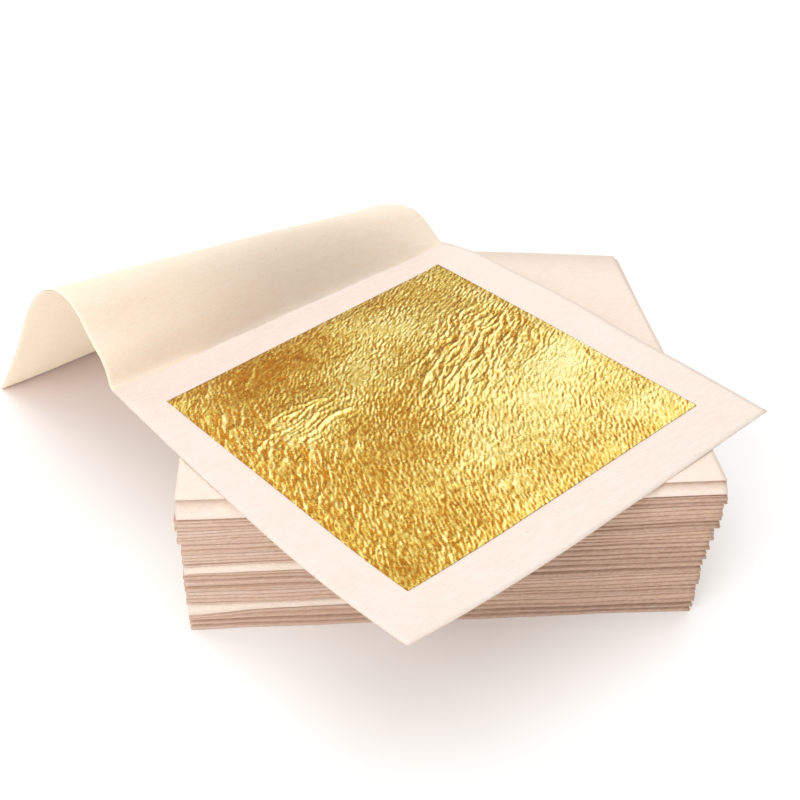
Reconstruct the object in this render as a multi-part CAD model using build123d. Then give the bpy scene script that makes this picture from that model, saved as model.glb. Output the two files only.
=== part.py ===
"""Gold leaf booklets in a pile, with the top one opened out on it. Millimetres.

The origin is the centre of the pile's bottom face, +X runs along the folds at
the pile's front, +Y runs to the back and +Z is up.
"""
from build123d import *

import os
from math import cos, hypot, radians, sin

os.makedirs("parts", exist_ok=True)

# Thicknesses, both drawn thicker than the real tissue and leaf, and the play between sheets
tissue = 0.2
gold = 0.1
play = 0.05

# The tissue page, folded or open, and how much longer the closed pages are along their fold
page_side = 103.0
fold_extra = 5.0

# The gold leaf, along the fold and across it
leaf_along = 84.5
leaf_across = 81.5

# Air held in a closed fold, and the height of the top booklet's sprung fold
fold_air = 0.2
sprung_fold = 4.0

# The open page: its turn on the pile, and its front tip, which curls up
open_turn = 38.9
curl_radius = 128.0
curl_turn = 20.0

# The round crease, and the play between it and the page that turns about it
crease_roll = 0.3
crease_clearance = 0.3

# Centre of the open page, centre of its leaf and start of its curl, in page sides
open_centre_share = (-0.01, -0.191)
open_leaf_share = (-0.015, -0.193)
curl_start_share = -0.60

# Closed booklets from the bottom: folded pages, air share, then the shift to the right
# and to the back in page sides, then the turn in degrees
booklet_shares = [
    (2, 0.5, -0.003, 0.000, 0.0),
    (2, 1.1, 0.001, 0.004, 0.3),
    (3, 1.3, -0.004, -0.002, -0.2),
    (3, 0.75, 0.002, 0.003, 0.4),
    (4, 1.1, -0.001, 0.000, -0.3),
    (2, 1.4, 0.003, 0.005, 0.2),
    (2, 1.1, -0.002, -0.003, -0.4),
    (3, 0.5, 0.004, 0.002, 0.1),
    (3, 1.4, 0.001, -0.002, 0.3),
    (4, 0.4, 0.013, 0.003, -0.2),
    (3, 1.25, 0.010, -0.004, 0.3),
    (5, 0.75, 0.015, 0.002, -0.3),
    (3, 0.25, 0.011, 0.000, 0.4),
]
top_booklet_share = (0.013, 0.000, 0.6)

# The curled page at its left end, middle and right end, from the crease to the free
# edge: distance out in page sides, height above the table in crease heights
curl_shares = [
    [(0.000, 1.00), (0.012, 1.21), (0.050, 1.39), (0.126, 1.52),
     (0.204, 1.46), (0.300, 1.23), (0.433, 0.77), (0.634, 0.07)],
    [(0.000, 1.00), (0.030, 1.14), (0.065, 1.26), (0.125, 1.34),
     (0.190, 1.31), (0.280, 1.16), (0.440, 0.72), (0.660, 0.02)],
    [(0.000, 1.00), (0.032, 1.04), (0.064, 1.09), (0.105, 1.13),
     (0.160, 1.12), (0.250, 1.02), (0.450, 0.66), (0.800, 0.02)],
]

# How far along the curled page each of those points lies, the same in all three sections
curl_reach_shares = [0, 0.06, 0.12, 0.19, 0.26, 0.38, 0.62, 1]

closed_fold = 2 * tissue + gold + 2 * play
strip_overrun = page_side


def folded_page(width, depth, front_height, back_height):
    """One page folded in two on Z = 0: round fold at the front, open at the back."""
    bend = front_height / 2
    front = -depth / 2
    back = depth / 2
    turn_in = front + bend
    outline = [
        Line((back, 0), (turn_in, 0)),
        ThreePointArc((turn_in, 0), (front, bend), (turn_in, front_height)),
        Line((turn_in, front_height), (back, back_height)),
        Line((back, back_height), (back, back_height - tissue)),
        Line((back, back_height - tissue), (turn_in, front_height - tissue)),
        ThreePointArc((turn_in, front_height - tissue), (front + tissue, bend), (turn_in, tissue)),
        Line((turn_in, tissue), (back, tissue)),
        Line((back, tissue), (back, 0)),
    ]
    section = Plane.YZ * make_face(outline)
    return extrude(section, amount=width / 2, both=True)


def closed_leaf(bottom):
    """A gold leaf that lies flat inside a fold."""
    flat = (Align.CENTER, Align.CENTER, Align.MIN)
    return Pos(0, 0, bottom) * Box(leaf_along, leaf_across, gold, align=flat)


def write(name, solids):
    """Write one node: a single solid, or a group of separate solids of one kind."""
    shape = solids[0] if len(solids) == 1 else Compound(children=solids)
    shape.label = name
    export_step(shape, f"parts/{name}.step")


# The closed booklets of equal pages, piled up from the table
level = 0
number = 0
for pages, air_share, shift_x_share, shift_y_share, turn in booklet_shares:
    number += 1
    fold_height = closed_fold + air_share * fold_air
    shift = (shift_x_share * page_side, shift_y_share * page_side)
    page_solids = []
    leaf_solids = []
    for page in range(pages):
        place = Pos(*shift, level) * Rot(0, 0, turn)
        folded = folded_page(page_side + fold_extra, page_side, fold_height, fold_height)
        page_solids.append(place * folded)
        leaf_solids.append(place * closed_leaf(tissue + play))
        level += fold_height + play
    write(f"booklet_{number:02d}_pages", page_solids)
    write(f"booklet_{number:02d}_leaves", leaf_solids)

# The top closed booklet, whose outer page springs open at its fold and slopes to the back
number += 1
shift_x_share, shift_y_share, turn = top_booklet_share
place = Pos(shift_x_share * page_side, shift_y_share * page_side, level) * Rot(0, 0, turn)
inner_height = closed_fold + fold_air
inner_level = tissue + play
upper_leaf_level = inner_level + inner_height + play
back_height = upper_leaf_level + gold + play + tissue
inner_depth = page_side - sprung_fold / 2 - play
outer_page = folded_page(page_side + fold_extra, page_side, sprung_fold, back_height)
inner_page = folded_page(page_side + fold_extra, inner_depth, inner_height, inner_height)
inner_place = Pos(0, (page_side - inner_depth) / 2, inner_level)
write(f"booklet_{number:02d}_pages", [place * outer_page, place * inner_place * inner_page])
write(
    f"booklet_{number:02d}_leaves",
    [place * closed_leaf(inner_level + tissue + play), place * closed_leaf(upper_leaf_level)],
)
level += sprung_fold + play

# The open page lies flat on the sprung fold, and its front tip curls up
page_level = level
curl_start = curl_start_share * page_side
curl_centre = page_level + curl_radius


def laid_sheet(rise, thickness):
    """A long strip that follows the open page at a height above its underside."""
    low = curl_radius - rise
    high = low - thickness

    def on_arc(radius, turned):
        return (curl_start - radius * sin(radians(turned)), curl_centre - radius * cos(radians(turned)))

    outline = [
        Line((strip_overrun, curl_centre - low), on_arc(low, 0)),
        ThreePointArc(on_arc(low, 0), on_arc(low, curl_turn / 2), on_arc(low, curl_turn)),
        Line(on_arc(low, curl_turn), on_arc(high, curl_turn)),
        ThreePointArc(on_arc(high, curl_turn), on_arc(high, curl_turn / 2), on_arc(high, 0)),
        Line(on_arc(high, 0), (strip_overrun, curl_centre - high)),
        Line((strip_overrun, curl_centre - high), (strip_overrun, curl_centre - low)),
    ]
    section = Plane.YZ * make_face(outline)
    return extrude(section, amount=strip_overrun, both=True)


def cutter(centre_share, along, across):
    """An upright block, turned with the open page, that cuts a sheet to its size."""
    centre = Pos(centre_share[0] * page_side, centre_share[1] * page_side, page_level)
    return centre * Rot(0, 0, open_turn) * Box(along, across, 2 * page_side)


# The crease runs along the open page's far left side, half way up its thickness
crease_level = page_level + tissue / 2
open_centre = Pos(open_centre_share[0] * page_side, open_centre_share[1] * page_side, 0)
crease_place = open_centre * Rot(0, 0, open_turn) * Pos(-page_side / 2, page_side / 2, 0)
along_crease = Pos(page_side / 2, 0, crease_level) * Rot(0, 90, 0)
crease = crease_place * along_crease * Cylinder(crease_roll, page_side)
lying_half = laid_sheet(0, tissue) & cutter(open_centre_share, page_side, page_side)
write("open_page_base", [(lying_half + crease).solid()])
open_leaf = laid_sheet(tissue + play, gold) & cutter(open_leaf_share, leaf_along, leaf_across)
write("open_gold_leaf", [open_leaf.solid()])


def shifted(points, distance):
    """The points of a section, each moved square to the line through its neighbours."""
    moved = []
    for index, (x, out, height) in enumerate(points):
        before = points[max(index - 1, 0)]
        after = points[min(index + 1, len(points) - 1)]
        step_out = after[1] - before[1]
        step_up = after[2] - before[2]
        scale = distance / hypot(step_out, step_up)
        moved.append((x, out - step_up * scale, height + step_out * scale))
    return moved


def curl_section(shares, along):
    """The closed outline of the curled page, square to the crease, from beside the crease on."""
    points = [(along, out * page_side, height * crease_level) for out, height in shares]
    rise = points[1][2] - crease_level
    start_share = (crease_roll + crease_clearance) / hypot(points[1][1], rise)
    points[0] = (along, points[1][1] * start_share, crease_level + rise * start_share)
    upper = shifted(points, tissue / 2)
    lower = shifted(points, -tissue / 2)
    return Wire([
        Edge.make_spline(upper, parameters=curl_reach_shares),
        Line(upper[-1], lower[-1]),
        Edge.make_spline(lower, parameters=curl_reach_shares),
        Line(lower[0], upper[0]),
    ])


sections = []
for index, shares in enumerate(curl_shares):
    sections.append(curl_section(shares, page_side * index / (len(curl_shares) - 1)))
write("open_page_flap", [crease_place * Solid.make_loft(sections)])

axis_end = crease_place * Pos(0, 0, crease_level)
print("crease axis starts at", axis_end.position)
print("page level", page_level, "booklets", number)
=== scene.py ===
"""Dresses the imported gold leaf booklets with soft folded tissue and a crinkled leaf, under studio light.

Tables and sums are in millimetres in the part's frame. Each mesh is turned to metres as it is made.
"""

from math import cos, pi, radians, sin

import bpy
import numpy as np
from mathutils import Matrix, Vector


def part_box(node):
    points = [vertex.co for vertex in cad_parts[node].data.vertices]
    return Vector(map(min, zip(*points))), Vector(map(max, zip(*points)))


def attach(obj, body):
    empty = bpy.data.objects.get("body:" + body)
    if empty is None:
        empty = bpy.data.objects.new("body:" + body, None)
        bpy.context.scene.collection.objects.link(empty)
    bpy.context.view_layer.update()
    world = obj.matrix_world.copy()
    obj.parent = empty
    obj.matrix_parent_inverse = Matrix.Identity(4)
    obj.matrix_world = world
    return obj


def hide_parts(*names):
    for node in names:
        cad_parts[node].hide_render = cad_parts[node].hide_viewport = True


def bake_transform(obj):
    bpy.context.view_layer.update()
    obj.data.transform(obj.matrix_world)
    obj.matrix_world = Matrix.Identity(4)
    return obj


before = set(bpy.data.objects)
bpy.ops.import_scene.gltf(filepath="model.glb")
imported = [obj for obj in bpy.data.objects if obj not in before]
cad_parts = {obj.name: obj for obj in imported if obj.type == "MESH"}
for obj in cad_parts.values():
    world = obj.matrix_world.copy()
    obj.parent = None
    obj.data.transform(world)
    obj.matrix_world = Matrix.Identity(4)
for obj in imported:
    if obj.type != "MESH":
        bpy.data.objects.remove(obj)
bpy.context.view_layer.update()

metres = 0.001

# The open page and its leaf on the pile, as packed
page_side = 103.0
open_turn = radians(38.9)
leaf_size = np.array([84.5, 81.5])
page_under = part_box("open_page_base")[0].z / metres

# Corners of the open page and of its leaf, from the crease's left end over its right end
page_corners = np.array([(-72.9, -11.6), (6.3, 51.7), (72.0, -28.0), (-9.6, -93.7)])
leaf_corners = np.array([(-59.3, -17.4), (4.7, 39.1), (57.0, -25.4), (-8.9, -78.6)])

# Sheets are shown thinner than they are packed
page_thickness = 0.14
closed_leaf_thickness = 0.06
open_leaf_thickness = 0.06

# The pile's half width along its folds and half depth
pile_half_width = 54.0
pile_half_depth = 51.5

# Directions on the open page: along its crease, and out from it towards the curled half
crease_along = np.array([cos(open_turn), sin(open_turn)])
crease_out = np.array([-sin(open_turn), cos(open_turn)])


# Noise and meshes

noise_cells = 64
noise_scale = 1.5
ridge_sharpness = 2.2


def smooth(low, high, value):
    """0 at low, 1 at high and a smooth step between."""
    share = np.clip((value - low) / (high - low), 0, 1)
    return share * share * (3 - 2 * share)


def noise(across, along, seed):
    """Smooth noise between about -1 and 1, with bumps one unit long."""
    table = np.random.default_rng(seed).uniform(0, 2 * pi, (noise_cells, noise_cells))
    across, along = np.broadcast_arrays(np.asarray(across, float), np.asarray(along, float))
    column = np.floor(across).astype(int)
    row = np.floor(along).astype(int)
    over = across - column
    up = along - row

    def corner(right, above):
        angle = table[(column + right) % noise_cells, (row + above) % noise_cells]
        return np.cos(angle) * (over - right) + np.sin(angle) * (up - above)

    fade_over = over ** 3 * (over * (over * 6 - 15) + 10)
    fade_up = up ** 3 * (up * (up * 6 - 15) + 10)
    lower = corner(0, 0) + (corner(1, 0) - corner(0, 0)) * fade_over
    upper = corner(0, 1) + (corner(1, 1) - corner(0, 1)) * fade_over
    return (lower + (upper - lower) * fade_up) * noise_scale


def ridges(across, along, seed):
    """Sharp creases: 1 along thin wandering lines, falling to 0 between them."""
    return 1 - np.minimum(1, ridge_sharpness * np.abs(noise(across, along, seed)))


def through(points, reach, wanted):
    """Values at the wanted reaches of a natural cubic curve through the points at their reaches."""
    points = np.asarray(points, float)
    reach = np.asarray(reach, float)
    count = len(reach)
    step = np.diff(reach)
    system = np.eye(count)
    bend_source = np.zeros(points.shape)
    for i in range(1, count - 1):
        system[i, i - 1 : i + 2] = step[i - 1], 2 * (step[i - 1] + step[i]), step[i]
        after = (points[i + 1] - points[i]) / step[i]
        before = (points[i] - points[i - 1]) / step[i - 1]
        bend_source[i] = 6 * (after - before)
    bend = np.linalg.solve(system, bend_source)
    span = np.clip(np.searchsorted(reach, wanted, side="right") - 1, 0, count - 2)
    length = step[span][:, None]
    right = (wanted - reach[span])[:, None] / length
    left = 1 - right
    curve = left * points[span] + right * points[span + 1]
    bending = (left ** 3 - left) * bend[span] + (right ** 3 - right) * bend[span + 1]
    return curve + bending * length ** 2 / 6


def between_corners(corners, along, inward):
    """Points between four corners: along the crease from 0 to 1, then away from it from 0 to 1."""
    along = along[..., None]
    inward = inward[..., None]
    near = corners[0] * (1 - along) + corners[1] * along
    far = corners[3] * (1 - along) + corners[2] * along
    return near * (1 - inward) + far * inward


def grid_faces(rows, columns, first):
    """Quads between the points of a grid, whose points are numbered from first."""
    index = np.arange(rows * columns).reshape(rows, columns) + first
    return np.stack([index[:-1, :-1], index[:-1, 1:], index[1:, 1:], index[1:, :-1]], -1).reshape(-1, 4)


def mesh_piece(name, points, faces, materials, **attributes):
    """A smooth mesh object from points in millimetres, with a number per point in each attribute."""
    mesh = bpy.data.meshes.new(name)
    mesh.from_pydata((points * metres).tolist(), [], faces)
    for material in materials:
        mesh.materials.append(material)
    for attribute, values in attributes.items():
        stored = mesh.attributes.new(attribute, "FLOAT", "POINT")
        stored.data.foreach_set("value", np.asarray(values, np.float32))
    mesh.polygons.foreach_set("use_smooth", np.ones(len(mesh.polygons), bool))
    mesh.update()
    piece = bpy.data.objects.new(name, mesh)
    bpy.context.scene.collection.objects.link(piece)
    return piece


def sheets_piece(name, grids, thickness, materials):
    """One object of thin sheets. Each grid is an array of rows and columns of x, y, z and a number for
    painted shade, or for the leaf's tone.
    """
    points = []
    faces = []
    first = 0
    for grid in grids:
        rows, columns = grid.shape[:2]
        points.append(grid.reshape(-1, 4))
        faces.append(grid_faces(rows, columns, first))
        first += rows * columns
    points = np.concatenate(points)
    piece = mesh_piece(name, points[:, :3], np.concatenate(faces).tolist(), materials, tint=points[:, 3])
    thicken = piece.modifiers.new("thickness", "SOLIDIFY")
    thicken.thickness = thickness * metres
    thicken.offset = 0
    thicken.material_offset_rim = len(materials) - 1
    return piece


# Materials


class Nodes:
    """Short calls that add linked nodes to a material."""

    def __init__(self, name):
        self.material = bpy.data.materials.new(name)
        self.material.use_nodes = True
        self.tree = self.material.node_tree
        self.shader = self.tree.nodes["Principled BSDF"]
        self.place = self.add("ShaderNodeTexCoord").outputs["Object"]

    def add(self, kind, **values):
        node = self.tree.nodes.new(kind)
        for name, value in values.items():
            setattr(node, name, value)
        return node

    def link(self, source, target):
        if hasattr(source, "links"):
            self.tree.links.new(source, target)
        else:
            target.default_value = source

    def noise(self, size, detail=2.0, stretch=None, roughness=0.5):
        """Noise with features of about that size in millimetres, stretched at a turn by a length."""
        texture = self.add("ShaderNodeTexNoise")
        texture.inputs["Scale"].default_value = 1 / (size * metres)
        texture.inputs["Detail"].default_value = detail
        texture.inputs["Roughness"].default_value = roughness
        source = self.place
        if stretch is not None:
            turn, length = stretch
            mapping = self.add("ShaderNodeMapping", vector_type="TEXTURE")
            mapping.inputs["Scale"].default_value = (length, 1.0, 1.0)
            mapping.inputs["Rotation"].default_value = (0, 0, radians(turn))
            self.link(source, mapping.inputs["Vector"])
            source = mapping.outputs["Vector"]
        self.link(source, texture.inputs["Vector"])
        return texture.outputs["Fac"]

    def ranged(self, value, from_low, from_high, to_low=0.0, to_high=1.0):
        node = self.add("ShaderNodeMapRange")
        self.link(value, node.inputs["Value"])
        limits = {"From Min": from_low, "From Max": from_high, "To Min": to_low, "To Max": to_high}
        for name, number in limits.items():
            node.inputs[name].default_value = number
        return node.outputs["Result"]

    def maths(self, operation, first, second):
        node = self.add("ShaderNodeMath", operation=operation)
        self.link(first, node.inputs[0])
        self.link(second, node.inputs[1])
        return node.outputs["Value"]

    def mixed(self, factor, first, second, blend="MIX"):
        node = self.add("ShaderNodeMix", data_type="RGBA", blend_type=blend)
        self.link(factor, node.inputs["Factor"])
        self.link(first, node.inputs[6])
        self.link(second, node.inputs[7])
        return node.outputs[2]

    def attribute(self, name):
        return self.add("ShaderNodeAttribute", attribute_name=name).outputs["Fac"]

    def bump(self, height, distance, strength=1.0):
        node = self.add("ShaderNodeBump")
        node.inputs["Strength"].default_value = strength
        node.inputs["Distance"].default_value = distance * metres
        self.link(height, node.inputs["Height"])
        self.link(node.outputs["Normal"], self.shader.inputs["Normal"])


def colour(red, green, blue):
    return (red, green, blue, 1.0)


# The tissue's clouds, pulp and fibres, in millimetres, and the height they stand up
cloud_size = 9.0
pulp_size = 0.7
fibre_size = 0.6
fibre_length = 5.0
fibre_turns = (35, -40)
tissue_relief = 0.06
glow_depth = 1.2


def tissue_material(name, pale, painted_shade_colour, painted_shadow_colour, glow=0.0):
    """Soft unglazed tissue: cloudy fibre, a few dark specks, painted warm shade where its painted shade
    number is 1, painted dark shadow at 2.
    """
    nodes = Nodes(name)
    cloud = nodes.ranged(nodes.noise(cloud_size, 3.0), 0.3, 0.7)
    pulp = nodes.ranged(nodes.noise(pulp_size, 4.0, roughness=0.7), 0.3, 0.7)
    fibre = nodes.ranged(nodes.noise(fibre_size, 3.0, (fibre_turns[0], fibre_length)), 0.35, 0.65)
    cross_noise = nodes.noise(fibre_size, 3.0, (fibre_turns[1], fibre_length))
    cross_fibre = nodes.ranged(cross_noise, 0.35, 0.65)
    speck = nodes.ranged(nodes.noise(fibre_size, 1.0), 0.76, 0.80)
    painted_shade_amount = nodes.attribute("tint")
    # Painted shade: the folds' warm shade, and the dark shadow painted into the notches
    base = nodes.mixed(nodes.ranged(painted_shade_amount, 0, 1), colour(*pale), colour(*painted_shade_colour))
    base = nodes.mixed(nodes.ranged(painted_shade_amount, 1, 2), base, colour(*painted_shadow_colour))
    base = nodes.mixed(nodes.maths("MULTIPLY", cloud, 0.10), base, colour(0.82, 0.68, 0.56), "MULTIPLY")
    base = nodes.mixed(nodes.maths("MULTIPLY", pulp, 0.14), base, colour(0.78, 0.64, 0.54), "MULTIPLY")
    base = nodes.mixed(nodes.maths("MULTIPLY", fibre, 0.12), base, colour(1.0, 0.94, 0.88))
    base = nodes.mixed(nodes.maths("MULTIPLY", cross_fibre, 0.08), base, colour(0.76, 0.62, 0.52))
    base = nodes.mixed(nodes.maths("MULTIPLY", speck, 0.6), base, colour(0.42, 0.30, 0.22))
    nodes.link(base, nodes.shader.inputs["Base Color"])
    nodes.shader.inputs["Roughness"].default_value = 0.85
    nodes.shader.inputs["Specular IOR Level"].default_value = 0.2
    nodes.link(nodes.ranged(painted_shade_amount, 0, 0.6, 0, glow), nodes.shader.inputs["Subsurface Weight"])
    nodes.shader.inputs["Subsurface Radius"].default_value = (1.0, 0.92, 0.85)
    nodes.shader.inputs["Subsurface Scale"].default_value = glow_depth * metres
    both_fibres = nodes.maths("ADD", fibre, cross_fibre)
    height = nodes.maths("ADD", pulp, nodes.maths("MULTIPLY", both_fibres, 0.4))
    nodes.bump(height, tissue_relief, 0.6)
    return nodes.material


# The warm and dark colours are painted: warm shade on the pile's folds and on the open page's curled half,
# dark shadow in the notches between booklets
tissue = tissue_material("tissue", (0.80, 0.68, 0.59), (0.56, 0.37, 0.27), (0.30, 0.17, 0.115))
cut_edge = tissue_material("tissue_cut_edge", (0.68, 0.51, 0.39), (0.52, 0.35, 0.26), (0.27, 0.145, 0.10))
open_tissue = tissue_material(
    "open_tissue", (0.77, 0.672, 0.610), (0.96, 0.66, 0.475), (0.80, 0.56, 0.40), glow=0.85)


# The gold's fine grain: two turns on the pile in degrees, then in millimetres the width and length
# of its streaks, its speckles, its duller and glossier places, and its height
grain_turns = (64, 106)
grain_size = 0.6
grain_length = 3.0
speckle_size = 0.45
sheen_size = 3.0
grain_relief = 0.11


def gold_material():
    """Beaten gold: painted amber shade in the valleys and painted pale highlights where it is lit, with a
    fine streaked grain.
    """
    nodes = Nodes("gold_leaf")
    streaks = [nodes.noise(grain_size, 2.0, (turn, grain_length), 0.6) for turn in grain_turns]
    streak = nodes.add("ShaderNodeMix")
    nodes.link(nodes.attribute("grain_turn"), streak.inputs["Factor"])
    nodes.link(streaks[0], streak.inputs[2])
    nodes.link(streaks[1], streak.inputs[3])
    fine = nodes.noise(speckle_size, 3.0, roughness=0.7)
    coarse_part = nodes.maths("MULTIPLY", streak.outputs[0], 0.65)
    fine_part = nodes.maths("MULTIPLY", fine, 0.35)
    grain = nodes.ranged(nodes.maths("ADD", coarse_part, fine_part), 0.36, 0.64)
    # The leaf's painted light with its grain: amber at the low end is painted shade, pale at the top a
    # painted highlight
    painted_light_and_grain = nodes.maths("ADD", nodes.attribute("tint"), nodes.ranged(grain, 0, 1, -0.38, 0.38))
    painted_shade_amber = colour(0.47, 0.18, 0.012)
    yellow = colour(0.76, 0.56, 0.12)
    pale = colour(0.97, 0.86, 0.42)
    deep = nodes.mixed(nodes.ranged(painted_light_and_grain, 0.0, 0.5), painted_shade_amber, yellow)
    base = nodes.mixed(nodes.ranged(painted_light_and_grain, 0.5, 1.0), deep, pale)
    nodes.link(base, nodes.shader.inputs["Base Color"])
    nodes.shader.inputs["Metallic"].default_value = 1.0
    roughness = nodes.ranged(nodes.noise(sheen_size, 2.0), 0.3, 0.7, 0.20, 0.34)
    nodes.link(roughness, nodes.shader.inputs["Roughness"])
    nodes.bump(grain, grain_relief, 1.0)
    return nodes.material


gold = gold_material()


# The closed booklets

# Height of each closed booklet's packed top, the table first
booklet_count = len([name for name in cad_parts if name.endswith("_pages")])
packed_tops = [0.0]
for number in range(1, booklet_count + 1):
    packed_tops.append(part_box(f"booklet_{number:02d}_pages")[1].z / metres)

# How far each booklet's top stands above its packed height, at the pile's left and right end
top_rises = [
    (0.0, 0.0), (0.2, -0.2), (0.15, -0.15), (-0.2, 0.2), (0.3, -0.3),
    (-0.1, 0.1), (-0.35, 0.35), (-0.3, 0.3), (-0.95, 0.95), (-0.75, 0.75),
    (-0.8, 0.8), (-0.4, 0.4), (-0.9, 0.9), (-0.8, 0.8), (0.0, 0.0),
]

# Left and right end of each booklet, from the table up
booklet_ends = [
    (-54.6, 54.0), (-54.8, 54.3), (-54.5, 54.7), (-54.8, 54.6), (-54.5, 54.9),
    (-54.7, 54.8), (-54.5, 55.0), (-54.6, 55.3), (-54.2, 55.6), (-54.3, 56.0),
    (-54.0, 56.9), (-54.5, 57.0), (-54.6, 57.4), (-54.1, 57.2),
]

# How far each booklet leans to the left for each millimetre to the back
booklet_leans = [
    0.0, 0.003, -0.002, 0.004, 0.002, 0.005, 0.003, 0.007, 0.006, 0.010, 0.012, 0.016, 0.020, 0.029,
]

# Folded pages in each booklet below the top one, and which of them has a puffed fold,
# counted from below, with how much taller it is at the left and at the right
booklet_pages = [2, 2, 3, 3, 4, 2, 2, 3, 3, 4, 3, 5, 3]
puffed_pages = {4: (0, 6.0, 0.9), 9: (0, 4.5, 0.9)}
puff_depth = 7.0

# The white left part of a puffed fold, kept free of painted shade: where it begins to fade, and where it
# ends
puffed_shade_fade = (-20.0, 32.0)

# The booklet under the lower puffed fold: pressed down at its left end, and set back beside it
pressed_booklet = 3
pressed_depth = 1.2
pressed_length = 9.0
set_back_depth = 0.9
set_back_from = (-52.0, -40.0, -26.0, -8.0)

# Slow waves in the pile, and its far right corner, which droops
wave_height = 0.30
wave_length = 34.0
wave_depth = 150.0
wave_shift = 0.45
wave_full_level = 4.0
droop_depth = 2.9
droop_from_x = 5.0
droop_from_y = -20.0

# The folds: rise of a page's foremost line, how round the pages are below and above it, and how
# far a booklet's upper pages stand back
lip_share = 0.36
lip_under = 0.05
lowest_under = 0.4
inner_over = 0.05
top_over_share = 1.1
puffed_over = 1.0
upper_recess = 0.7

# How far the folds, the ends and the backs of the pages wander, how long those waves are, and how
# far a whole booklet is set forward or back
fold_wander = 0.22
side_wander = 0.15
back_wander = 0.3
slow_wander_length = 23.0
quick_wander_length = 6.0
back_wander_length = 30.0
puff_wander_length = 16.0
booklet_wander = 0.15

# How pages differ in height in one booklet, and the folds' painted shade: of a booklet, its rise from
# the lowest booklet to the highest, and as painted shadow in the notches over a booklet and over a puffed
# page
page_size_range = (0.75, 1.3)
painted_shade_range = (0.80, 1.05)
painted_shade_rise = 0.18
notch_tint = 1.8
puffed_notch_tint = 1.2

fold_turns = np.radians([-90, -60, -30, 0, 22, 45, 67, 90])
sheet_shares = np.array([0.0, 0.01, 0.03, 0.07, 0.14, 0.25, 0.4, 0.56, 0.72, 0.87, 1.0])
pile_columns = 91
closed_leaf_columns = 24
closed_leaf_rows = 22

# The top booklet's sprung fold, from its underside to its top: share of its height, how far it
# stands behind the pile's front, and how much painted shade its colour has
sprung_outline = [
    (0.00, 1.30, 0.9), (0.02, 0.75, 0.7), (0.07, 0.30, 0.3), (0.14, 0.02, 0.10), (0.22, -0.10, 0.0),
    (0.32, -0.02, 0.0), (0.45, 0.30, 0.04), (0.60, 0.85, 0.22), (0.74, 1.45, 0.45), (0.85, 1.95, 0.75),
    (0.92, 2.15, 1.10), (0.965, 1.80, 0.95), (0.99, 1.25, 0.20), (1.00, 1.50, 0.0),
]

# The sprung page: its height at the back over the booklet below, where its slope begins, a shallow
# sag in its top, and the waves of its fold and of its back edge
sprung_back = 1.45
sprung_turn_in = 2.0
sprung_sag = 0.15
sprung_sag_x = (0.0, 40.0)
sprung_sag_y = (-50.0, -20.0)
sprung_wander_length = 30.0
sprung_back_wander = 0.2
sprung_back_length = 40.0

# The page inside the sprung one: how far back its fold lies, and its place in the height that
# stays level to the back, with the leaf in it and the leaf on it
inner_page_back = 3.0
inner_page_round = 0.3
inner_page_levels = (0.16, 0.62)
inner_leaf_levels = (0.39, 0.72)

# How far a fold's painted shade reaches on to the flat of the page, from full to none
fold_painted_shade_reach = (0.6, 2.6)

# Air between a page's middle surface and the page next to it
page_gap = 0.02


def droop(x, y):
    """How far the pile's top sinks towards its far right corner."""
    right = np.clip((x - droop_from_x) / (pile_half_width - droop_from_x), 0, 1.1) ** 1.5
    back = np.clip((y - droop_from_y) / (pile_half_depth - droop_from_y), 0, 1.1) ** 1.15
    return droop_depth * right * back


def booklet_top(index, x, y):
    """Height of a closed booklet's top at the points x, y, below the sprung booklet."""
    packed = packed_tops[index]
    left, right = top_rises[index]
    end_share = np.clip(x / pile_half_width, -1, 1) / 2 + 0.5
    fade = 1 - 0.6 * smooth(-pile_half_depth, pile_half_depth, y)
    rise = (left + (right - left) * end_share) * fade
    wave = noise(x / wave_length, index * wave_shift + y / wave_depth, 11)
    wave = wave * wave_height * min(1, packed / wave_full_level)
    if index == pressed_booklet:
        from_corner = np.hypot(x + pile_half_width, y + pile_half_depth)
        wave = wave - pressed_depth * np.exp(-(from_corner / pressed_length) ** 2)
    return packed + rise + wave - droop(x, y) * packed / packed_tops[-2]


def sprung_top(x, y):
    """Height of the pile's top face, which slopes to the back."""
    front = packed_tops[-1]
    back = packed_tops[-2] + sprung_back
    run = 2 * pile_half_depth - sprung_turn_in
    slope = np.clip((y + pile_half_depth - sprung_turn_in) / run, 0, 1)
    sag = sprung_sag * smooth(*sprung_sag_x, x) * smooth(*sprung_sag_y, y)
    return front + (back - front) * slope - droop(x, y) - sag


def folded_sheet(x, front, back, surfaces, outline, lean, left_painted_shade_share=1.0):
    """A grid of one page folded in two, which leans to the left towards the back.

    outline has the height share, depth and painted shade of its fold. The last argument is how much
    of that painted shade is left at the fold's left end.
    """
    rows = [(outline[0][0], outline[0][1], share, outline[0][2]) for share in sheet_shares[:0:-1]]
    rows += [(height_share, depth, 0.0, fold_painted_shade) for height_share, depth, fold_painted_shade in outline]
    rows += [(outline[-1][0], outline[-1][1], share, outline[-1][2]) for share in sheet_shares[1:]]
    shares, starts, reaches, outline_painted_shades = (column[:, None] for column in np.array(rows).T)
    depths = starts + reaches * (back - front - starts)
    y = front + depths
    x = x - lean * (y + pile_half_depth)
    low, high = surfaces(x, y)
    half = page_thickness / 2 + page_gap
    z = low + half + shares * (high - low - 2 * half)
    # Painted shade grows towards the pile's right end, which gets less light
    right_painted_shade = 0.85 + 0.5 * (x + pile_half_width) / (2 * pile_half_width)
    right_painted_shade = right_painted_shade * (left_painted_shade_share + (1 - left_painted_shade_share) * smooth(*puffed_shade_fade, x))
    tints = outline_painted_shades * right_painted_shade * (1 - smooth(*fold_painted_shade_reach, depths - starts))
    return np.stack([x, y, z, tints], -1)


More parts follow.
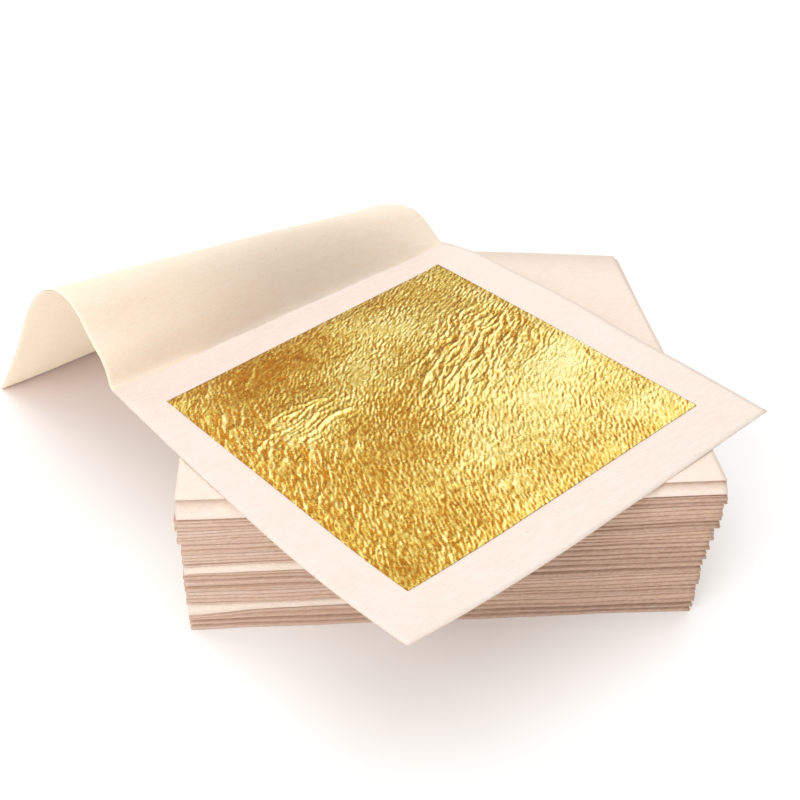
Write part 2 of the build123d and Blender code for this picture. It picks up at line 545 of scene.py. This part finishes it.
def leaf_in_fold(centre_x, centre_y, surface):
    """A grid of a leaf that lies in a closed fold, on the surface given."""
    across = np.linspace(-leaf_size[0] / 2, leaf_size[0] / 2, closed_leaf_columns) + centre_x
    deep = np.linspace(-leaf_size[1] / 2, leaf_size[1] / 2, closed_leaf_rows) + centre_y
    x, y = np.meshgrid(across, deep)
    return np.stack([x, y, surface(x, y), np.full_like(x, 0.5)], -1)


def page_surfaces(index, weights, page):
    """The function that gives a page's lower and upper height in its booklet, at any points."""

    def surfaces(x, y):
        low = booklet_top(index - 1, x, y)
        high = booklet_top(index, x, y)
        end_share = np.clip(x / pile_half_width, -1, 1) / 2 + 0.5
        near_fold = np.exp(-np.maximum(0, y + pile_half_depth) / puff_depth)
        sizes = []
        for number, (left, right) in enumerate(weights):
            size = left + (right - left) * end_share
            size = size * (1 + 0.3 * noise(x / puff_wander_length, index + 0.31 * number, 24))
            sizes.append(1 + (size - 1) * near_fold)
        total = sum(sizes)
        below = sum(sizes[:page], np.zeros_like(x)) / total
        above = below + sizes[page] / total
        return low + below * (high - low), low + above * (high - low)

    return surfaces


def round_outline(under, over, fold_painted_shade, notch_painted_shadow):
    """A fold that is round below its foremost line and above it, with the most painted shade at its very
    top.
    """
    outline = []
    for turn in fold_turns:
        reach = under if turn < 0 else over
        rise = lip_share if turn < 0 else 1 - lip_share
        tint = fold_painted_shade + max(0.0, sin(turn)) ** 0.8 * (notch_painted_shadow - fold_painted_shade)
        outline.append((lip_share + rise * sin(turn), reach * (1 - cos(turn)), tint))
    return outline


rng = np.random.default_rng(7)


def closed_booklet(index):
    """The page and leaf grids of one closed booklet below the top one."""
    low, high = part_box(f"booklet_{index:02d}_pages")
    centre = (low + high) / (2 * metres)
    count = booklet_pages[index - 1]
    weights = [tuple(rng.uniform(*page_size_range, 2)) for page in range(count)]
    puffed = None
    if index in puffed_pages:
        puffed, left, right = puffed_pages[index]
        weights[puffed] = (left, right)
    # The booklet's painted shade, more on the upper booklets, which get more light
    booklet_painted_shade = rng.uniform(*painted_shade_range) + painted_shade_rise * index / booklet_count
    booklet_shift = rng.uniform(-booklet_wander, booklet_wander)
    left_end, right_end = booklet_ends[index - 1]
    pages = []
    leaves = []
    for page in range(count):
        height = (high.z - low.z) / metres / count
        upper_share = page / (count - 1)
        end_shift = rng.uniform(-1, 1, 3) * side_wander
        x = np.linspace(left_end + end_shift[0], right_end + end_shift[1], pile_columns)
        slow = noise(x / slow_wander_length, index + 0.2 * page, 21)
        quick = noise(x / quick_wander_length, index + 0.7 * page, 22)
        wander = fold_wander * (slow + 0.4 * quick)
        front = -pile_half_depth + booklet_shift + upper_recess * (upper_share - 0.4) + wander
        if index == pressed_booklet:
            start, full, fade, end = set_back_from
            beside = smooth(start, full, x) * (1 - smooth(fade, end, x))
            front = front + set_back_depth * upper_share * beside
        edge = noise(x / back_wander_length, index + 0.37 * page, 23)
        back = pile_half_depth + 2 * end_shift[2] + back_wander * edge
        surfaces = page_surfaces(index, weights, page)
        over = top_over_share * height if page == count - 1 else inner_over
        under = lowest_under if page == 0 else lip_under
        # Painted shade on the fold, less on the upper pages, with a painted shadow in the notch over the
        # top page
        fold_painted_shade = booklet_painted_shade * (1.05 - 0.40 * upper_share)
        notch_painted_shadow = notch_tint if page == count - 1 else fold_painted_shade
        left_painted_shade_share = 1.0
        if page == puffed:
            over = puffed_over
            left_painted_shade_share = 0.0
            notch_painted_shadow = puffed_notch_tint
        outline = round_outline(under, over, fold_painted_shade, notch_painted_shadow)
        lean = booklet_leans[index - 1]
        pages.append(folded_sheet(x, front, back, surfaces, outline, lean, left_painted_shade_share))
        leaves.append(leaf_in_fold(centre.x, centre.y, lambda x, y, found=surfaces: sum(found(x, y)) / 2))
    return pages, leaves


def top_booklet(index):
    """The page and leaf grids of the top closed booklet, with its sprung outer page."""
    low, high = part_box(f"booklet_{index:02d}_pages")
    centre = (low + high) / (2 * metres)
    x = np.linspace(*booklet_ends[index - 1], pile_columns)

    def outer(x, y):
        return booklet_top(index - 1, x, y), sprung_top(x, y)

    def level(share):
        def surface(x, y):
            under, top = outer(x, y)
            return under + np.minimum(sprung_back, top - under) * share

        return surface

    def inner(x, y):
        return tuple(level(share)(x, y) for share in inner_page_levels)

    wander = fold_wander * noise(x / sprung_wander_length, 3.3, 31)
    front = -pile_half_depth + wander
    back = pile_half_depth + sprung_back_wander * noise(x / sprung_back_length, 5.1, 32)
    lean = booklet_leans[index - 1]
    pages = [folded_sheet(x, front, back, outer, sprung_outline, lean)]
    inner_outline = round_outline(inner_page_round, inner_page_round, 0.8, 0.8)
    inner_front = front[1:-1] + inner_page_back
    pages.append(folded_sheet(x[1:-1], inner_front, back[1:-1], inner, inner_outline, lean))
    leaves = [leaf_in_fold(centre.x, centre.y, level(share)) for share in inner_leaf_levels]
    return pages, leaves


for number in range(1, booklet_count + 1):
    make = top_booklet if number == booklet_count else closed_booklet
    page_grids, leaf_grids = make(number)
    body = f"booklet_{number:02d}"
    pages_piece = sheets_piece(f"{body}_tissue", page_grids, page_thickness, [tissue, cut_edge])
    leaves_piece = sheets_piece(f"{body}_gold", leaf_grids, closed_leaf_thickness, [gold])
    dressed = ((pages_piece, "pages", "tissue_paper"), (leaves_piece, "leaves", "gold_leaf"))
    for piece, node, slot in dressed:
        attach(piece, body)
        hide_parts(f"{body}_{node}")


# The open page

# The lying half: its front tip curls up, its far right edge lifts, its near left edge bows out
curl_start = -61.8
curl_radius = 147.0
edge_lifts = [0.0, 2.7, 3.1, 3.1, 2.7, 1.7, 1.2, 0.7, 0.0]
edge_lift_reach = 16.0
side_bow = 0.8

# The curled half at its left end, middle and right end: out from the crease and up from it
curl_sections = [
    [(0.0, 0.0), (0.9, 6.4), (4.9, 10.5), (9.4, 16.1),
     (16.1, 17.9), (27.4, 12.9), (43.4, -5.7), (68.4, -36.8)],
    [(0.0, 0.0), (3.1, 5.1), (6.7, 9.5), (12.9, 12.6),
     (19.6, 11.3), (28.8, 5.8), (46.3, -10.2), (70.0, -36.8)],
    [(0.0, 0.0), (3.3, 2.3), (6.6, 4.3), (10.8, 5.5),
     (16.5, 4.7), (25.8, 1.1), (46.4, -12.4), (82.4, -36.8)],
]
free_corner_skew = -1.6
curl_reach = [0, 0.06, 0.12, 0.19, 0.26, 0.38, 0.62, 1]

# Slow waves in the two halves, how far the curled half stays off the table, and the crease's round
buckle_height = 0.10
buckle_length = 22.0
buckle_lift = 0.16
curl_wave_height = 0.35
curl_wave_length = 31.0
table_gap = 0.03
crease_round = 1.6

page_columns = 90
lying_rows = 84
curled_rows = 84
crease_rows = 7


def page_height(x, y):
    """Height of the lying half's middle surface at the points x, y."""
    from_start = np.stack([x, y], -1) - page_corners[0]
    along = from_start @ crease_along
    inward = -(from_start @ crease_out)
    curled = np.maximum(0, curl_start - y)
    tip = curl_radius - np.sqrt(curl_radius ** 2 - curled ** 2)
    lift_points = np.array(edge_lifts)[:, None]
    lift_reach = np.linspace(0, page_side, len(edge_lifts))
    shape = np.shape(inward)
    lift = through(lift_points, lift_reach, np.clip(inward, 0, page_side).ravel())[:, 0].reshape(shape)
    near_edge = np.clip(1 - (page_side - along) / edge_lift_reach, 0, 1) ** 2
    buckle = buckle_height * noise(x / buckle_length, y / buckle_length, 41) + buckle_lift
    return page_under + page_thickness / 2 + tip + np.maximum(0, lift) * near_edge + buckle


def lying_points(along, inward):
    """Points of the lying half: along the crease, and inward from it."""
    bow = side_bow * np.sin(np.clip(inward / page_side, 0, 1) * pi) * (1 - along / page_side) ** 2
    plan = between_corners(page_corners, (along - bow) / page_side, inward / page_side)
    return np.concatenate([plan, page_height(plan[..., 0], plan[..., 1])[..., None]], -1)


def curled_points(along, reach):
    """Points of the curled half: along the crease, and how far over, from 0 to 1."""
    place = along[0] / page_side
    left = 2 * (place - 0.5) * (place - 1)
    middle = 4 * place * (1 - place)
    right = 2 * place * (place - 0.5)
    curves = [through(section, curl_reach, reach[:, 0]) for section in curl_sections]
    weights = (left, middle, right)
    out_up = sum(curve[:, None, :] * weight[None, :, None] for curve, weight in zip(curves, weights))
    wave = curl_wave_height * noise(along / curl_wave_length, reach * 2.2, 51) * smooth(0.1, 0.5, reach)
    skewed = along + free_corner_skew * reach * (1 - along / page_side)
    crease = between_corners(page_corners, skewed / page_side, np.zeros_like(along))
    plan = crease + crease_out * out_up[..., :1]
    root = lying_points(along[0], np.zeros(page_columns))[:, 2]
    height = root + out_up[..., 1] + wave
    lowest = page_thickness / 2 + table_gap
    return np.concatenate([plan, np.maximum(height, lowest)[..., None]], -1)


def open_page():
    """The whole open page: the lying half, the round crease and the curled half, as one sheet."""
    along_line = np.linspace(0, page_side, page_columns)
    inward_line = np.linspace(page_side, crease_round, lying_rows)
    along, inward = np.meshgrid(along_line, inward_line)
    lying = lying_points(along, inward)
    first_reach = crease_round / page_side
    reach_line = first_reach + (1 - first_reach) * np.linspace(0, 1, curled_rows)
    along, reach = np.meshgrid(along_line, reach_line)
    curled = curled_points(along, reach)
    corner = lying_points(along_line, np.zeros(page_columns))
    turn = np.linspace(0, 1, crease_rows + 2)[1:-1, None, None]
    crease = (1 - turn) ** 2 * lying[-1] + 2 * turn * (1 - turn) * corner + turn ** 2 * curled[0]
    points = np.concatenate([lying, crease, curled])
    tints = np.zeros(points.shape[:2])
    # The crease and curled half take the open tissue's warm colour: a painted warm shade
    tints[lying_rows:] = 1.0
    return np.concatenate([points, tints[..., None]], -1)


page_piece = sheets_piece("open_page_tissue", [open_page()], page_thickness, [open_tissue, cut_edge])
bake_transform(page_piece)
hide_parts("open_page_base", "open_page_flap")


# The bare leaf

leaf_columns = 300
leaf_rows = 290
under_step = 10

# Fields of folds pressed into the leaf: centre along and across it, turn in degrees, reach along
# and across, length and spacing of the ridges, height
leaf_folds = [
    (25.0, 9.0, 24.0, 20.0, 11.0, 9.0, 1.8, 0.42),
    (8.0, 1.0, 30.0, 16.0, 12.0, 7.0, 1.4, 0.26),
    (-38.0, 22.0, 70.0, 15.0, 6.0, 9.0, 1.3, 0.34),
    (-24.0, 12.0, 10.0, 12.0, 6.0, 12.0, 1.5, 0.30),
    (-33.0, -8.0, 64.0, 14.0, 10.0, 7.0, 1.4, 0.30),
    (-12.0, -34.0, 66.0, 20.0, 10.0, 6.0, 1.5, 0.10),
    (4.0, -24.0, 60.0, 24.0, 22.0, 4.0, 1.1, 0.07),
    (-6.0, 20.0, 35.0, 24.0, 16.0, 4.0, 1.1, 0.07),
]

# Single folds, each a height and the points it runs through, along and across the leaf
leaf_ridges = [
    (0.34, (-32.5, 38.5), (-35.0, 35.5)),
    (0.40, (-24.5, 39.5), (-29.0, 35.5), (-30.0, 33.5)),
    (0.36, (-21.0, 37.0), (-24.5, 34.0), (-27.0, 32.0)),
    (0.36, (-38.5, 32.5), (-40.5, 26.5), (-41.2, 19.5)),
    (0.36, (-36.0, 32.0), (-37.5, 26.5), (-40.0, 20.5)),
    (0.34, (-35.5, 30.0), (-38.0, 24.5), (-39.5, 20.5)),
    (0.60, (-30.5, 13.5), (-33.0, 14.2), (-36.0, 13.5), (-39.0, 11.0)),
    (0.30, (-30.5, 13.5), (-30.0, 9.5), (-30.5, 5.0)),
    (0.42, (-32.0, 9.0), (-34.0, 3.5), (-37.0, 0.0)),
    (0.42, (-30.5, 4.5), (-32.0, 0.5), (-32.5, -4.5)),
    (0.34, (-29.5, 3.5), (-31.0, -0.5), (-31.5, -5.5)),
    (0.44, (-34.5, 12.5), (-37.0, 9.5), (-41.0, 3.5)),
    (0.46, (-31.0, 12.0), (-32.5, 8.5), (-38.5, 3.5)),
    (0.40, (-27.5, 7.5), (-29.5, 5.5), (-30.5, 3.0)),
    (0.30, (-30.5, 22.0), (-32.0, 17.5)),
    (0.46, (-30.5, 18.0), (-26.5, 18.7), (-23.0, 18.5), (-19.5, 17.5), (-16.5, 16.5)),
    (0.40, (-27.5, 16.8), (-23.5, 17.0), (-18.5, 16.0)),
    (0.55, (-27.0, 8.5), (-22.5, 9.5), (-17.5, 10.5), (-14.5, 9.5)),
    (0.40, (-25.5, 12.0), (-21.0, 13.0), (-17.0, 12.5)),
    (0.26, (-17.0, 3.5), (-21.0, -0.5), (-25.5, -4.5)),
    (0.55, (29.5, 20.0), (24.5, 15.0), (23.0, 12.5), (16.0, 10.5), (9.0, 5.0)),
    (0.50, (25.0, 12.5), (18.5, 8.0), (8.0, 2.5)),
    (0.60, (31.5, 16.5), (27.5, 12.5), (27.0, 9.5), (17.5, 5.0), (8.5, 1.0)),
    (0.50, (16.0, 4.0), (12.5, -0.5), (7.0, -5.0), (3.5, -6.0)),
    (0.50, (27.0, 8.5), (22.5, 4.5), (19.0, -0.5), (13.5, -5.5)),
    (0.55, (37.5, 13.0), (31.0, 10.0), (26.5, 7.0), (24.0, 2.5), (19.0, -2.5)),
    (0.50, (37.0, 11.0), (31.5, 2.0), (25.5, -2.0)),
    (0.40, (40.5, 9.0), (39.5, 5.5), (38.0, 1.5)),
    (0.36, (37.0, 3.5), (34.0, -1.5), (31.0, -3.5)),
    (-0.40, (41.0, -10.0), (39.0, -13.5)),
    (0.36, (18.5, 12.5), (11.0, 9.0), (6.5, 7.0), (-0.5, 2.0), (-6.5, -1.0)),
    (0.30, (20.0, 16.5), (13.5, 13.0), (6.5, 11.5)),
    (-0.40, (-34.7, -22.5), (-36.0, -27.0), (-38.4, -31.1)),
    (-0.36, (-26.0, -33.7), (-29.0, -39.5)),
]

# Width and rise of the single folds, how they and the fields wander, and the leaf's broad swell
ridge_width = 0.42
ridge_rise = 0.6
ridge_wander = 0.5
ridge_wander_length = 3.1
ridge_break_length = 2.3
fold_rise = 0.85
fold_wander_height = 1.3
fold_wander_lengths = (8.0, 14.0)
swell_height = 0.20
swell_length = 17.0

# How far the leaf's relief stands clear of the page, how far in from its edges it is settled,
# and the air under the leaf
relief_base = 0.25
settled_reach = 3.0
leaf_air = 0.03

# Fine streaks that cover the leaf: their turns on it in degrees, width and length, and height,
# how their turn wanders, the loose grain between them, and the size of their stronger places
streak_turns = (25.0, 45.0, 65.0)
streak_width = 0.60
streak_length = 1.9
streak_height = 0.065
streak_turn_wander = 12.0
streak_turn_length = 14.0
loose_length = 0.65
strength_length = 7.0

# Painted reflections, brighter and darker places on the leaf: centre along and across it, reach along
# and across it, brightness added
painted_leaf_reflections = [
    (-15.0, 34.0, 14.0, 6.0, -0.30), (-30.0, 24.0, 14.0, 8.0, -0.18), (-37.0, 0.0, 9.0, 14.0, -0.15),
    (-20.0, -8.0, 14.0, 9.0, -0.16), (17.0, 38.0, 5.0, 4.0, -0.20), (26.0, 10.0, 13.0, 6.0, -0.16),
    (-12.0, 4.0, 16.0, 6.0, -0.12), (-42.0, 37.0, 4.0, 4.0, 0.35), (35.0, -8.0, 9.0, 7.0, 0.45),
    (20.0, -14.0, 14.0, 8.0, 0.34), (4.0, -20.0, 12.0, 7.0, 0.26), (34.0, -33.0, 8.0, 7.0, 0.30),
    (28.0, -24.0, 16.0, 14.0, 0.16), (0.0, 22.0, 16.0, 9.0, 0.22), (14.0, 28.0, 12.0, 7.0, 0.16),
    (36.0, 32.0, 7.0, 8.0, 0.08), (-8.0, -22.0, 8.0, 7.0, 0.12), (-29.0, 12.0, 4.0, 3.0, 0.25),
    (-36.0, -22.0, 9.0, 14.0, -0.12), (-24.0, -34.0, 14.0, 6.0, -0.10), (10.0, 38.0, 14.0, 5.0, 0.14),
]

# Smoother places: centre along and across the leaf, reach along and across it
calm_places = [(-15.0, 34.0, 13.0, 5.0), (-22.0, -8.0, 6.0, 3.0), (-30.0, 30.0, 8.0, 3.0)]

# How the tones wander, the size of their blotches and flecks, and the painted shade and highlight
# that the relief's height and the slopes of its folds and streaks add to them
tone_wander = 2.5
tone_wander_length = 6.0
blotch_length = 5.0
fleck_length = 1.7
painted_shade_level = 0.1
height_painted_shade = 0.8
fold_painted_slope_light = 1.7
streak_painted_slope_light = 3.0

# Where the gold's grain swings from its first direction to its second, across the leaf
grain_swing = (-18.0, 22.0)


def ridge_profile(along, across, points):
    """1 along the line through the points, falling to 0 beside it and at its ends."""
    wander = ridge_wander * noise(along / ridge_wander_length, across / ridge_wander_length, 66)
    nearest = np.full(along.shape, np.inf)
    for (start_along, start_across), (end_along, end_across) in zip(points, points[1:]):
        step_along = end_along - start_along
        step_across = end_across - start_across
        over = along - start_along + wander
        up = across - start_across - wander
        forward = over * step_along + up * step_across
        share = np.clip(forward / (step_along ** 2 + step_across ** 2), 0, 1)
        nearest = np.minimum(nearest, np.hypot(over - share * step_along, up - share * step_across))
    broken = 0.75 + 0.6 * noise(along / ridge_break_length, across / ridge_break_length, 67)
    return np.exp(-(nearest / ridge_width) ** 2) * np.clip(broken, 0.2, 1.2)


def streaks(along, across):
    """Fine streaks between about -1 and 1, which run steeper towards the leaf's left."""
    wander = streak_turn_wander * noise(along / streak_turn_length, across / streak_turn_length, 98)
    local_turn = streak_turns[1] - 0.5 * along - 0.25 * across + wander
    local_turn = np.clip(local_turn, streak_turns[0], streak_turns[-1])
    total = np.zeros_like(along)
    power = np.zeros_like(along)
    for number, turn in enumerate(streak_turns):
        forward = along * cos(radians(turn)) + across * sin(radians(turn))
        sideways = across * cos(radians(turn)) - along * sin(radians(turn))
        weight = np.maximum(0, 1 - np.abs(local_turn - turn) / (streak_turns[1] - streak_turns[0]))
        streak = np.tanh(3.0 * noise(forward / streak_length, sideways / streak_width, 61 + number))
        total = total + weight * streak
        power = power + weight ** 2
    loose = noise(along / loose_length, across / loose_length, 65)
    strength = 0.8 + 0.6 * noise(along / strength_length, across / strength_length, 99)
    return strength * (0.75 * total / np.sqrt(power) + 0.6 * loose)


def leaf_relief(along, across):
    """Height of the folds and of the grain at the points of the leaf."""
    folds = swell_height * noise(along / swell_length, across / swell_length, 64)
    wander_length, wander_width = fold_wander_lengths
    for number, fold_field in enumerate(leaf_folds):
        centre_along, centre_across, turn, reach, width, length, spacing, rise = fold_field
        over = along - centre_along
        up = across - centre_across
        forward = over * cos(radians(turn)) + up * sin(radians(turn))
        sideways = up * cos(radians(turn)) - over * sin(radians(turn))
        within = np.exp(-(forward / reach) ** 2 - (sideways / width) ** 2)
        bend = noise(forward / wander_length, sideways / wander_width, 70 + number)
        bent = sideways + fold_wander_height * bend
        crests = ridges(forward / length, bent / spacing, 80 + number) ** 1.5
        folds = folds + fold_rise * rise * within * crests
    for height, *points in leaf_ridges:
        folds = folds + ridge_rise * height * ridge_profile(along, across, points)
    grain = streak_height * streaks(along, across)
    for centre_along, centre_across, reach, width in calm_places:
        near = np.exp(-((along - centre_along) / reach) ** 2 - ((across - centre_across) / width) ** 2)
        grain = grain * (1 - 0.75 * near)
        folds = folds * (1 - 0.5 * near)
    return folds, grain


def leaf_tone_and_painted_light(along, across, folds, grain):
    """How bright the gold is at each point, from 0 to 1: random blotches and flecks, painted reflections,
    and painted highlight and shade from its relief.
    """
    # Painted reflection: brighter towards the leaf's right corner
    tone = 0.405 + 0.0013 * along - 0.0018 * across
    wander = tone_wander * noise(along / tone_wander_length, across / tone_wander_length, 95)
    for centre_along, centre_across, reach, width, added in painted_leaf_reflections:
        over = (along - centre_along + wander) / reach
        up = (across - centre_across - wander) / width
        tone = tone + added * np.exp(-over ** 2 - up ** 2)
    tone = tone + 0.14 * noise(along / blotch_length, across / blotch_length, 96)
    tone = tone + 0.08 * noise(along / fleck_length, across / fleck_length, 97)
    step = leaf_size[0] / leaf_columns
    # Painted highlight on the crests and painted shade in the valleys
    tone = tone + height_painted_shade * (folds - painted_shade_level)
    # Painted light on slopes: lighter on those facing one way, darker on those facing the other
    for relief, contrast in ((folds, fold_painted_slope_light), (grain, streak_painted_slope_light)):
        rises_across, rises_along = np.gradient(relief, step)
        tone = tone + contrast * (rises_across - rises_along) / 2 ** 0.5
    return np.clip(tone, 0, 1)


def leaf_piece():
    """The bare leaf as one closed mesh: a fine upper face, a plain under face and thin sides."""
    along_line = np.linspace(-leaf_size[0] / 2, leaf_size[0] / 2, leaf_columns + 1)
    across_line = np.linspace(-leaf_size[1] / 2, leaf_size[1] / 2, leaf_rows + 1)
    along, across = np.meshgrid(along_line, across_line)
    plan = between_corners(leaf_corners, along / leaf_size[0] + 0.5, 0.5 - across / leaf_size[1])
    ground = page_height(plan[..., 0], plan[..., 1]) + page_thickness / 2 + leaf_air
    edge_distance = np.minimum(leaf_size[0] / 2 - np.abs(along), leaf_size[1] / 2 - np.abs(across))
    settled = 0.25 + 0.75 * smooth(0, settled_reach, edge_distance)
    folds, grain = leaf_relief(along, across)
    crinkle = np.maximum(0, folds + grain + relief_base) * settled
    upper = np.concatenate([plan, (ground + open_leaf_thickness + crinkle)[..., None]], -1)
    lower = np.concatenate([plan, ground[..., None]], -1)
    tones_and_painted_light = leaf_tone_and_painted_light(along, across, folds, grain)
    rows, columns = along.shape
    index = np.arange(rows * columns).reshape(rows, columns)
    rim = np.concatenate([index[0, :], index[1:, -1], index[-1, -2::-1], index[-2:0:-1, 0]])
    under = np.zeros((rows, columns), bool)
    under[::under_step, ::under_step] = True
    under.ravel()[rim] = True
    under_index = np.full(rows * columns, -1)
    under_index[under.ravel()] = rows * columns + np.arange(under.sum())
    faces = grid_faces(rows, columns, 0).tolist()
    for a, b in zip(rim, np.roll(rim, -1)):
        faces.append([int(b), int(a), int(under_index[a]), int(under_index[b])])
    grid = under_index.reshape(rows, columns)
    for row in range(0, rows - 1, under_step):
        for column in range(0, columns - 1, under_step):
            block = grid[row : row + under_step + 1, column : column + under_step + 1]
            loop = np.concatenate([block[0, :], block[1:, -1], block[-1, -2::-1], block[-2:0:-1, 0]])
            faces.append([int(i) for i in loop[::-1] if i >= 0])
    points = np.concatenate([upper.reshape(-1, 3), lower.reshape(-1, 3)[under.ravel()]])
    turns = 1 - smooth(*grain_swing, along * 0.7 + across * 0.7)
    shown = [np.concatenate([part.ravel(), part.ravel()[under.ravel()]]) for part in (tones_and_painted_light, turns)]
    return mesh_piece("open_leaf_gold", points, faces, [gold], tint=shown[0], grain_turn=shown[1])


bare_leaf = leaf_piece()
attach(bare_leaf, "open_leaf")
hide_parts("open_gold_leaf")


# Floor, light and camera

floor_reach = 12000.0
floor_lines = 9


def floor_piece():
    """A wide pale floor under the pile."""
    corner = np.linspace(-floor_reach, floor_reach, floor_lines)
    x, y = np.meshgrid(corner, corner)
    points = np.stack([x, y, np.zeros_like(x)], -1).reshape(-1, 3)
    nodes = Nodes("studio_floor")
    nodes.shader.inputs["Base Color"].default_value = colour(0.93, 0.93, 0.93)
    nodes.shader.inputs["Roughness"].default_value = 0.9
    nodes.shader.inputs["Specular IOR Level"].default_value = 0.1
    faces = grid_faces(floor_lines, floor_lines, 0).tolist()
    return mesh_piece("studio_floor", points, faces, [nodes.material])


floor_piece()


def softbox(name, place, aim, size, power, tone):
    """A large square lamp. Its places and size are in millimetres."""
    lamp = bpy.data.lights.new(name, "AREA")
    lamp.shape = "RECTANGLE"
    lamp.size = size[0] * metres
    lamp.size_y = size[1] * metres
    lamp.energy = power
    lamp.color = tone
    holder = bpy.data.objects.new(name, lamp)
    bpy.context.scene.collection.objects.link(holder)
    holder.location = Vector(place) * metres
    away = Vector(place) - Vector(aim)
    holder.rotation_euler = away.to_track_quat("Z", "Y").to_euler()
    holder.visible_camera = False


# Each lamp: its name, its place, where it points, its size, its power in watts and its colour
lamps = [
    ("key_light", (-450, -600, 520), (0, 0, 20), (650, 650), 4.0, (1.0, 0.99, 0.97)),
    ("front_fill", (350, -850, 420), (-30, 20, 50), (700, 500), 1.2, (1.0, 0.97, 0.94)),
    ("back_light", (750, 900, 800), (0, 0, 30), (1300, 900), 4.8, (1.0, 0.99, 0.97)),
    ("glint_light", (-150, 900, 1050), (0, 0, 30), (800, 240), 1.1, (1.0, 1.0, 0.98)),
    ("left_fill", (-1000, 900, 600), (0, 0, 30), (900, 700), 6.5, (1.0, 0.99, 0.96)),
]
for lamp_values in lamps:
    softbox(*lamp_values)

overhead = bpy.data.lights.new("overhead_light", "SUN")
overhead.energy = 1.5
overhead.angle = radians(70)
bpy.context.scene.collection.objects.link(bpy.data.objects.new("overhead_light", overhead))

# Pale surroundings, brightest near the level of the floor
level_glow = 0.85
upper_glow = 0.28
upper_from = 0.35
world = bpy.data.worlds.new("studio")
world.use_nodes = True
background = world.node_tree.nodes["Background"]
background.inputs["Color"].default_value = colour(1.0, 1.0, 1.0)
direction = world.node_tree.nodes.new("ShaderNodeTexCoord")
parts = world.node_tree.nodes.new("ShaderNodeSeparateXYZ")
glow_range = world.node_tree.nodes.new("ShaderNodeMapRange")
glow_range.interpolation_type = "SMOOTHSTEP"
glow_limits = {"From Min": 0.0, "From Max": upper_from, "To Min": level_glow, "To Max": upper_glow}
for socket, number in glow_limits.items():
    glow_range.inputs[socket].default_value = number
world.node_tree.links.new(direction.outputs["Generated"], parts.inputs[0])
world.node_tree.links.new(parts.outputs["Z"], glow_range.inputs["Value"])
world.node_tree.links.new(glow_range.outputs["Result"], background.inputs["Strength"])
bpy.context.scene.world = world
bpy.context.scene.view_settings.view_transform = "Standard"

# The photograph's camera: place, heading, pitch below the horizon, roll, focal length in image widths
camera_place = (-15.25, -224.52, 188.61)
camera_heading = radians(-2.10)
camera_pitch = radians(36.59)
camera_roll = radians(-0.64)
focal_widths = 1.4413

camera_data = bpy.data.cameras.new("camera")
camera_data.lens = camera_data.sensor_width * focal_widths
camera_data.clip_start = 0.01
camera = bpy.data.objects.new("camera", camera_data)
bpy.context.scene.collection.objects.link(camera)
turned = Matrix.Rotation(camera_heading, 4, "Z")
tilted = Matrix.Rotation(pi / 2 - camera_pitch, 4, "X")
rolled = Matrix.Rotation(camera_roll, 4, "Z")
camera.matrix_world = Matrix.Translation(Vector(camera_place) * metres) @ turned @ tilted @ rolled
bpy.context.scene.camera = camera
